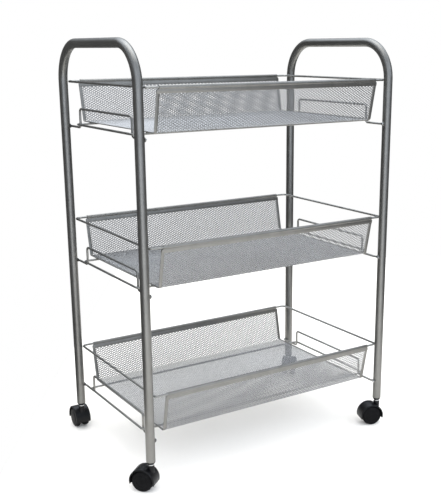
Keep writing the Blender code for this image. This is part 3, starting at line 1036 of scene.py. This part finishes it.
def softbox(name, location, aim, width, height, power, colour=(1, 1, 1)):
    light = bpy.data.lights.new(name, "AREA")
    light.shape = "RECTANGLE"
    light.size = width
    light.size_y = height
    light.energy = power
    light.color = colour
    lamp = bpy.data.objects.new(name, light)
    lamp.location = location
    lamp.rotation_euler = (Vector(aim) - Vector(location)).to_track_quat("-Z", "Y").to_euler()
    bpy.context.scene.collection.objects.link(lamp)


def build_paper():
    """The sheet of white paper that the cart stands on, laid along the camera's way."""
    onward, right = heading_frame()
    middle = CART_MIDDLE - onward * PAPER_FORWARD + right * PAPER_RIGHT
    graph = bmesh.new()
    corners = []
    for across, along in ((-1, -1), (1, -1), (1, 1), (-1, 1)):
        offset = right * across * PAPER_WIDTH / 2 + onward * along * PAPER_LENGTH / 2
        corners.append(graph.verts.new(middle + offset))
    graph.faces.new(corners)
    mesh = bpy.data.meshes.new("paper")
    graph.to_mesh(mesh)
    graph.free()
    paper = bpy.data.objects.new("paper", mesh)
    material = bpy.data.materials.new("paper")
    material.use_nodes = True
    shader = material.node_tree.nodes["Principled BSDF"]
    shader.inputs["Base Color"].default_value = (*PAPER_COLOUR, 1)
    shader.inputs["Roughness"].default_value = 0.9
    shader.inputs["Specular IOR Level"].default_value = 0.1
    mesh.materials.append(material)
    bpy.context.scene.collection.objects.link(paper)


def blend_colours(nodes, links, share, first, second):
    """The colour between two as a share goes from 0 to 1; the second may come from another node."""
    mix = nodes.new("ShaderNodeMix")
    mix.data_type = "RGBA"
    links.new(share, mix.inputs["Factor"])
    mix.inputs["A"].default_value = (*first, 1)
    if isinstance(second, tuple):
        mix.inputs["B"].default_value = (*second, 1)
    else:
        links.new(second, mix.inputs["B"])
    return mix.outputs["Result"]


def build_world():
    """White surroundings that light the paper; in reflections the room is dim and its far ceiling bright."""
    world = bpy.data.worlds.new("studio")
    bpy.context.scene.world = world
    world.use_nodes = True
    nodes, links = world.node_tree.nodes, world.node_tree.links
    white = nodes["Background"]
    white.inputs["Color"].default_value = (1, 1, 1, 1)
    white.inputs["Strength"].default_value = WORLD_STRENGTH
    way = nodes.new("ShaderNodeTexCoord")
    split = nodes.new("ShaderNodeSeparateXYZ")
    links.new(way.outputs["Generated"], split.inputs["Vector"])
    height = nodes.new("ShaderNodeMapRange")
    height.inputs["From Min"].default_value = math.sin(math.radians(ROOM_EDGE[0]))
    height.inputs["From Max"].default_value = math.sin(math.radians(ROOM_EDGE[1]))
    links.new(split.outputs["Z"], height.inputs["Value"])
    onward, _ = heading_frame()
    along = nodes.new("ShaderNodeVectorMath")
    along.operation = "DOT_PRODUCT"
    along.inputs[1].default_value = onward
    links.new(way.outputs["Generated"], along.inputs[0])
    far = nodes.new("ShaderNodeMapRange")
    far.inputs["From Min"].default_value = 0.0
    far.inputs["From Max"].default_value = ROOM_DEPTH
    links.new(along.outputs["Value"], far.inputs["Value"])
    ceiling = blend_colours(nodes, links, far.outputs["Result"], ROOM_NEAR, ROOM_FAR)
    tone = blend_colours(nodes, links, height.outputs["Result"], ROOM_LOW, ceiling)
    room = nodes.new("ShaderNodeBackground")
    links.new(tone, room.inputs["Color"])
    backdrop = nodes.new("ShaderNodeBackground")
    backdrop.inputs["Color"].default_value = (1, 1, 1, 1)
    path = nodes.new("ShaderNodeLightPath")
    shown = white
    for ray, other in (("Is Glossy Ray", room), ("Is Camera Ray", backdrop)):
        choose = nodes.new("ShaderNodeMixShader")
        links.new(path.outputs[ray], choose.inputs["Fac"])
        links.new(shown.outputs[0], choose.inputs[1])
        links.new(other.outputs["Background"], choose.inputs[2])
        shown = choose
    links.new(shown.outputs["Shader"], nodes["World Output"].inputs["Surface"])


def away(degrees, distance):
    """A level step from the cart, so many degrees to the right of the camera's side."""
    onward, right = heading_frame()
    angle = math.radians(degrees)
    return (-onward * math.cos(angle) + right * math.sin(angle)) * distance


def build_lights():
    softbox("top_softbox", CHEST + Vector((0, 0, TOP_RISE)), CHEST, TOP_WIDTH, TOP_WIDTH, TOP_POWER)
    level = CART_MIDDLE + Vector((0, 0, KEY_HEIGHT / 2 + KEY_LIFT))
    key_at = level + away(KEY_SIDE, KEY_DISTANCE)
    key_power = math.pi * KEY_WIDTH * KEY_HEIGHT * KEY_RADIANCE
    softbox("key_softbox", key_at, level, KEY_WIDTH, KEY_HEIGHT, key_power, KEY_COLOUR)
    fill_at = CHEST + away(FILL_SIDE, FILL_DISTANCE) + Vector((0, 0, FILL_RISE))
    fill_power = math.pi * FILL_WIDTH * FILL_WIDTH * FILL_RADIANCE
    softbox("side_softbox", fill_at, CHEST, FILL_WIDTH, FILL_WIDTH, fill_power, KEY_COLOUR)


def build_studio():
    build_camera()
    build_paper()
    build_world()
    build_lights()
    bpy.context.scene.view_settings.view_transform = "Standard"


MATERIALS = {slot: painted(**finish) for slot, finish in FINISHES.items()}
build_end_frames()
build_trays()
build_casters()
build_studio()
